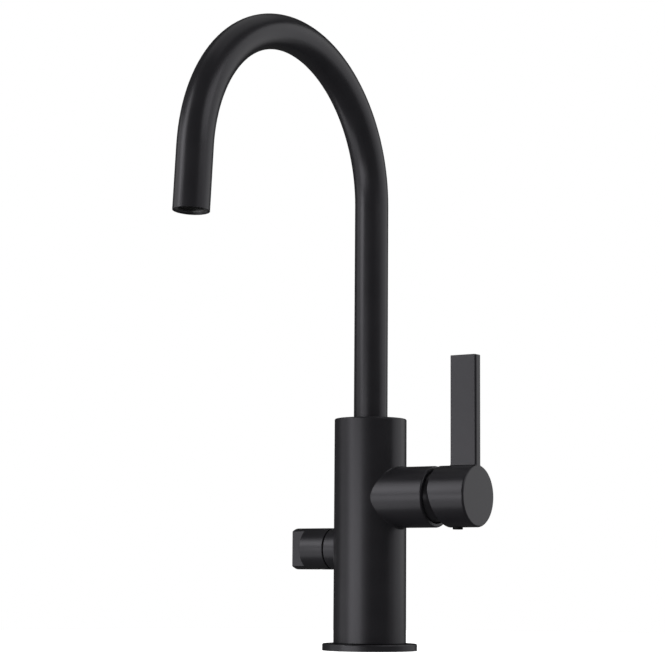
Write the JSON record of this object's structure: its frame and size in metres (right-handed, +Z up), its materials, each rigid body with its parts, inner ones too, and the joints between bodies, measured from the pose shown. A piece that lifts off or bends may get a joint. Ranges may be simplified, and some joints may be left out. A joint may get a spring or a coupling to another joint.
{
  "type": "kitchen tap",
  "caption": "Deck-mounted kitchen mixer tap with a swivelling swan-neck spout, side lever, dishwasher shut-off knob and horseshoe clamp.",
  "frame": {"origin": "on the worktop plane, on the column's axis", "axes": "+Z up along the column, -Y along the spout at rest, +X along the lever's arm, -X along the shut-off knob"},
  "size_m": [0.141, 0.238, 0.4792],
  "materials": {
    "black_coat": "satin black powder coat",
    "black_plastic": "satin black plastic",
    "brass_parts": "turned",
    "copper_pipe": "drawn copper",
    "steel_parts": "plain steel",
    "ceramic_discs": "lapped white ceramic",
    "rubber_seals": "moulded",
    "white_polymer": "moulded"
  },
  "bodies": {
    "tap_body": {"base_flange": "black_coat", "base_seal": "rubber_seals", "column_body": "black_coat", "inlet_manifold": "brass_parts", "hot_riser": "copper_pipe", "cold_riser": "copper_pipe", "outlet_riser": "copper_pipe", "valve_block": "brass_parts", "fixing_stud": "steel_parts", "cartridge_base": "white_polymer", "cartridge_seals": "rubber_seals", "fixed_disc": "ceramic_discs", "cartridge_housing": "white_polymer", "cartridge_nut": "brass_parts", "dome_cap": "black_coat", "headwork_body": "brass_parts", "headwork_seal": "rubber_seals", "headwork_fixed_disc": "ceramic_discs", "spout_slide_ring": "white_polymer", "spout_retaining_screw": "steel_parts"},
    "spout": {"spout_tube": "black_coat", "spout_spigot": "brass_parts", "spout_o_rings": "rubber_seals", "aerator_seal": "rubber_seals", "aerator_housing": "steel_parts", "aerator_insert": "black_plastic"},
    "temperature_carrier": {"cartridge_rotor": "white_polymer", "stem_pin": "steel_parts"},
    "lever": {"lever_handle": "black_coat", "lever_stem": "steel_parts", "stem_adapter": "white_polymer", "handle_set_screw": "steel_parts", "handle_screw_plug": "black_plastic"},
    "disc_slider": {"moving_disc": "ceramic_discs", "disc_carrier": "white_polymer"},
    "shutoff": {"shutoff_knob": "black_coat", "headwork_spindle": "brass_parts", "headwork_moving_disc": "ceramic_discs", "spindle_o_ring": "rubber_seals", "spindle_clip": "steel_parts", "knob_set_screw": "steel_parts"},
    "deck_clamp": {"clamp_rubber": "rubber_seals", "clamp_plate": "steel_parts", "clamp_washer": "steel_parts", "fixing_nut": "steel_parts"}
  },
  "joints": [
    {"name": "spout_swivel", "type": "hinge", "parent": "tap_body", "child": "spout", "pos_m": [0, 0, 0.14], "axis": [0, 0, 1], "range_deg": [-60, 60]},
    {"name": "temperature_turn", "type": "hinge", "parent": "tap_body", "child": "temperature_carrier", "pos_m": [0.046, 0, 0.1], "axis": [1, 0, 0], "range_deg": [-45, 45]},
    {"name": "lever_tilt", "type": "hinge", "parent": "temperature_carrier", "child": "lever", "pos_m": [0.046, 0, 0.1], "axis": [0, 1, 0], "range_deg": [0, 22]},
    {"name": "disc_slide", "type": "slide", "parent": "temperature_carrier", "child": "disc_slider", "axis": [0, 0, 1], "range_m": [0, 0.00475]},
    {"name": "shutoff_turn", "type": "hinge", "parent": "tap_body", "child": "shutoff", "pos_m": [-0.03, 0, 0.0665], "axis": [1, 0, 0], "range_deg": [0, 90]},
    {"name": "clamp_slide", "type": "slide", "parent": "tap_body", "child": "deck_clamp", "axis": [0, 0, 1], "range_m": [-0.025, 0.025]}
  ],
  "couplings": [
    {"joint": "disc_slide", "follows": "lever_tilt", "m_per_rad": 0.01229}
  ]
}
